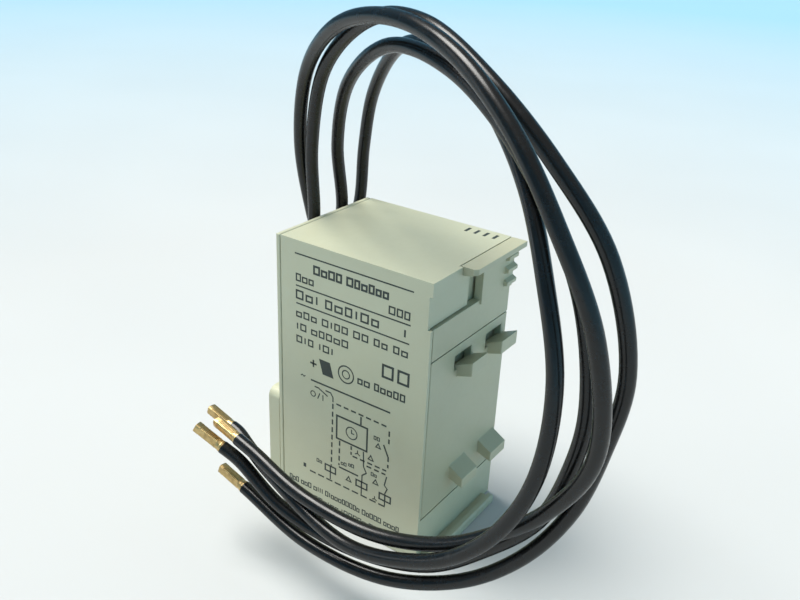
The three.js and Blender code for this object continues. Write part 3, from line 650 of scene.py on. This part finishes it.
def crimped_ferrule(name, end, way):
    """A crimped sleeve with an open end, and the cut strands inside it."""
    across = way.cross(Vector((0, 0, 1))).normalized()
    up = across.cross(way)
    lean = math.radians(CHANCE.uniform(-FERRULE_LEAN, FERRULE_LEAN))
    across, up = across * math.cos(lean) + up * math.sin(lean), up * math.cos(lean) - across * math.sin(lean)
    bm = bmesh.new()
    rings = [ring_of(bm, end + way * (along * MM), across, up, half, square)
             for along, half, square in ferrule_stations()]
    bore = [(FERRULE_LENGTH, BORE_RADIUS + 0.08), (FERRULE_LENGTH - 0.1, BORE_RADIUS), (7.0, BORE_RADIUS)]
    rings += [ring_of(bm, end + way * (along * MM), across, up, radius, 2) for along, radius in bore]
    loft(bm, rings)
    brass = "ferrule_brass"
    sleeve = mesh_object(f"crimped_ferrule_{name}", bm, MATERIALS[brass], "housing")
    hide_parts(f"ferrule_{name}")
    bm = bmesh.new()
    places = [(0.0, 0.0)]
    for reach, count in STRAND_RINGS:
        places += [(reach * MM, 2 * math.pi * turn / count) for turn in range(count)]
    for reach, turn in places:
        foot = end + way * (STRAND_FOOT * MM) + (across * math.cos(turn) + up * math.sin(turn)) * reach
        strand(bm, foot, way, across, up, (0.5 + CHANCE.uniform(0.0, 0.35)) * MM)
    strands = mesh_object(f"strands_{name}", bm, STRAND_COPPER, "housing")
    return [sleeve, strands]


def strand(bm, foot, way, across, up, length):
    turns = [2 * math.pi * index / STRAND_SIDES for index in range(STRAND_SIDES)]
    spokes = [(across * math.cos(turn) + up * math.sin(turn)) * STRAND_RADIUS * MM for turn in turns]
    loft(bm, [[bm.verts.new(foot + way * along + spoke) for spoke in spokes] for along in (0.0, length)])


for lead_name in LEAD_ROUTES:
    lead, tip, way = lead_curve(lead_name)
    crimped_ferrule(lead_name, tip, way)


# ---------------------------------------------------------------- carried-over CAD nodes
SLOTS = {row["node"]: row["material_slot"] for row in frame["record"]["subparts"]}
for node_name, node in frame["nodes"].items():
    if not node.hide_render:
        paint(node, MATERIALS[SLOTS[node_name]])


WELD_DISTANCE = 0.005 * MM
SHARP_ANGLE = 35            # degrees; flatter edges than this are left alone


def soften(node_name, width, segments=2):
    """Rounds the edges of a CAD node with modifiers, which leave its mesh as it is."""
    node = frame["nodes"][node_name]
    weld = node.modifiers.new("weld", "WELD")
    weld.merge_threshold = WELD_DISTANCE
    bevel = node.modifiers.new("bevel", "BEVEL")
    bevel.width = width
    bevel.segments = segments
    bevel.limit_method = "ANGLE"
    bevel.angle_limit = math.radians(SHARP_ANGLE)


soften("housing_shell", 0.35 * MM, 3)
soften("front_cover", 0.25 * MM)
soften("dial_bezel", 0.3 * MM, 3)
soften("lead_outlet_hood", 0.3 * MM, 3)
soften("mounting_plate", 0.2 * MM)
soften("release_latch", 0.25 * MM)
soften("time_knob", 0.15 * MM)


# ---------------------------------------------------------------- floor, lights and camera
BACKDROP_SIDES = 96
BACKDROP_FLAT = 2.4         # radius of the flat floor
BACKDROP_SWEEP = 1.2        # radius of the sweep from the floor up into the wall
BACKDROP_HEIGHT = 3.4
BACKDROP_DROP = 0.2 * MM    # keeps the floor clear of the module's base
SWEEP_STEPS = 8


def stage_backdrop():
    """A round studio sweep: a plain pale floor that curves up into a wall all round."""
    outline = [(0.05, 0.0), (0.4, 0.0), (1.2, 0.0), (BACKDROP_FLAT, 0.0)]
    for step in range(1, SWEEP_STEPS + 1):
        turn = step * math.pi / 2 / SWEEP_STEPS
        out, rise = math.sin(turn), 1 - math.cos(turn)
        outline.append((BACKDROP_FLAT + BACKDROP_SWEEP * out, BACKDROP_SWEEP * rise))
    outline.append((BACKDROP_FLAT + BACKDROP_SWEEP, BACKDROP_HEIGHT))
    bm = bmesh.new()
    rings = []
    turns = [2 * math.pi * index / BACKDROP_SIDES for index in range(BACKDROP_SIDES)]
    for radius, height in outline:
        level = height - BACKDROP_DROP
        rings.append([bm.verts.new((radius * math.cos(a), radius * math.sin(a), level)) for a in turns])
    bm.faces.new(rings[0])
    for lower, upper in zip(rings, rings[1:]):
        for index in range(BACKDROP_SIDES):
            after = (index + 1) % BACKDROP_SIDES
            bm.faces.new((lower[index], upper[index], upper[after], lower[after]))
    for face in bm.faces:
        face.smooth = True
    mesh = bpy.data.meshes.new("floor")
    bm.to_mesh(mesh)
    bm.free()
    floor = bpy.data.objects.new("floor", mesh)
    bpy.context.scene.collection.objects.link(floor)
    surface = Surface("floor_paper", 0.9)
    far = surface.node("ShaderNodeVectorMath", Vector=surface.place)
    far.operation = "LENGTH"
    paper = surface.mix(surface.ramp(surface.noise(0.2), 0.3, 0.7), srgb(188, 190, 189), srgb(193, 195, 194))
    surface.colour(surface.mix(surface.ramp(far.outputs["Value"], 0.2, 1.3), paper, srgb(142, 186, 206)))
    mesh.materials.append(surface.material)


def softbox(name, place, target, size, power, colour):
    data = bpy.data.lights.new(name, "AREA")
    data.shape = "RECTANGLE"
    data.size, data.size_y = size
    data.energy = power
    data.color = colour
    obj = bpy.data.objects.new(name, data)
    obj.location = place
    obj.rotation_mode = "QUATERNION"
    obj.rotation_quaternion = (Vector(target) - Vector(place)).to_track_quat("-Z", "Y")
    bpy.context.scene.collection.objects.link(obj)


WORLD_STRENGTH = 0.41
SUN_ANGLE = 34              # degrees across, which makes soft shadows
SUN_ENERGY = 4.7
SUN_WAY = (-0.13, 0.36, -0.92)


def studio():
    world = bpy.data.worlds.new("studio")
    world.use_nodes = True
    world.node_tree.nodes["Background"].inputs["Color"].default_value = srgb(238, 241, 243)
    world.node_tree.nodes["Background"].inputs["Strength"].default_value = WORLD_STRENGTH
    bpy.context.scene.world = world
    sun = bpy.data.lights.new("sun", "SUN")
    sun.angle = math.radians(SUN_ANGLE)
    sun.energy = SUN_ENERGY
    sun.color = (1.0, 0.98, 0.94)
    holder = bpy.data.objects.new("sun", sun)
    holder.rotation_mode = "QUATERNION"
    holder.rotation_quaternion = Vector(SUN_WAY).to_track_quat("-Z", "Y")
    bpy.context.scene.collection.objects.link(holder)
    softbox("key", (0.42, -0.56, 0.22), (0.03, 0.03, 0.08), (0.14, 0.6), 0.5, (1.0, 0.98, 0.95))


CAMERA_PLACE = (0.15894, 0.11021, 0.15055)
CAMERA_HEADING = -145.97    # degrees from +X towards +Y, seen from above
CAMERA_PITCH = -25.44
CAMERA_ROLL = 2.74
CAMERA_LENS = 38.61


def photograph_camera():
    """The camera that was solved from the photograph's straight edges."""
    data = bpy.data.cameras.new("camera")
    data.lens = CAMERA_LENS
    data.sensor_width = 36
    data.clip_start = 0.005
    data.clip_end = 20
    camera = bpy.data.objects.new("camera", data)
    heading, pitch = math.radians(CAMERA_HEADING), math.radians(CAMERA_PITCH)
    level = math.cos(pitch)
    forward = Vector((math.cos(heading) * level, math.sin(heading) * level, math.sin(pitch)))
    camera.location = CAMERA_PLACE
    camera.rotation_mode = "QUATERNION"
    roll = Quaternion((0, 0, 1), math.radians(CAMERA_ROLL))
    camera.rotation_quaternion = forward.to_track_quat("-Z", "Y") @ roll
    bpy.context.scene.collection.objects.link(camera)
    bpy.context.scene.camera = camera


stage_backdrop()
studio()
photograph_camera()
bpy.context.scene.view_settings.view_transform = "Standard"
